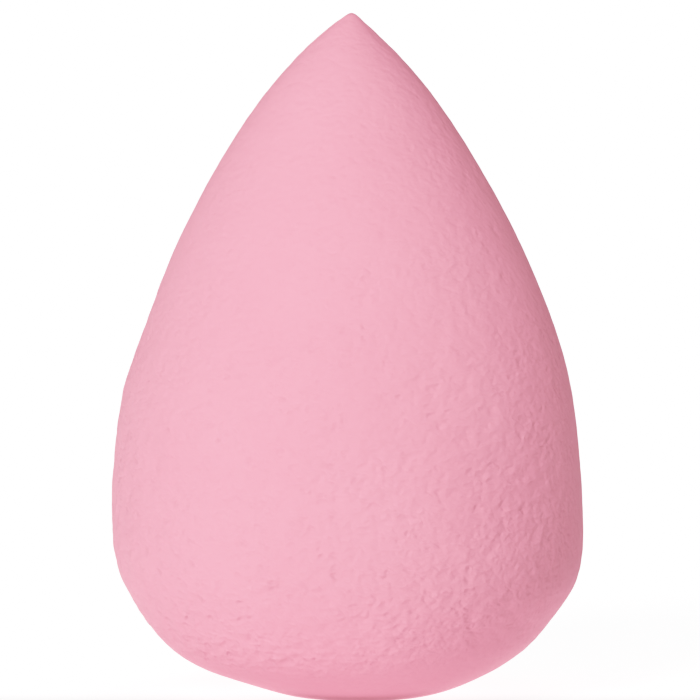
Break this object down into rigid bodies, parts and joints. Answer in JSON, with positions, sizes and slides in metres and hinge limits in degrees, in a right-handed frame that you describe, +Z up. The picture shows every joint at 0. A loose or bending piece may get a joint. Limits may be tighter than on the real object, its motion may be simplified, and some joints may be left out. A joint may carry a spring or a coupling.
{
  "type": "makeup sponge",
  "caption": "Teardrop makeup sponge of soft moulded foam, with a pointed tip for detail, a full round end for blending, and a matte pebbled skin.",
  "frame": {"origin": "middle of the small flat on the rounded end, where the sponge stands on a table", "axes": "+Z up through the tip along the axis of revolution; X and Y are free because the sponge is round"},
  "size_m": [0.0416, 0.0416, 0.06],
  "materials": {
    "skin_foam": "matte",
    "core_foam": "matte"
  },
  "bodies": {
    "root": {"outer_skin": "skin_foam", "foam_core": "core_foam"}
  },
  "joints": []
}
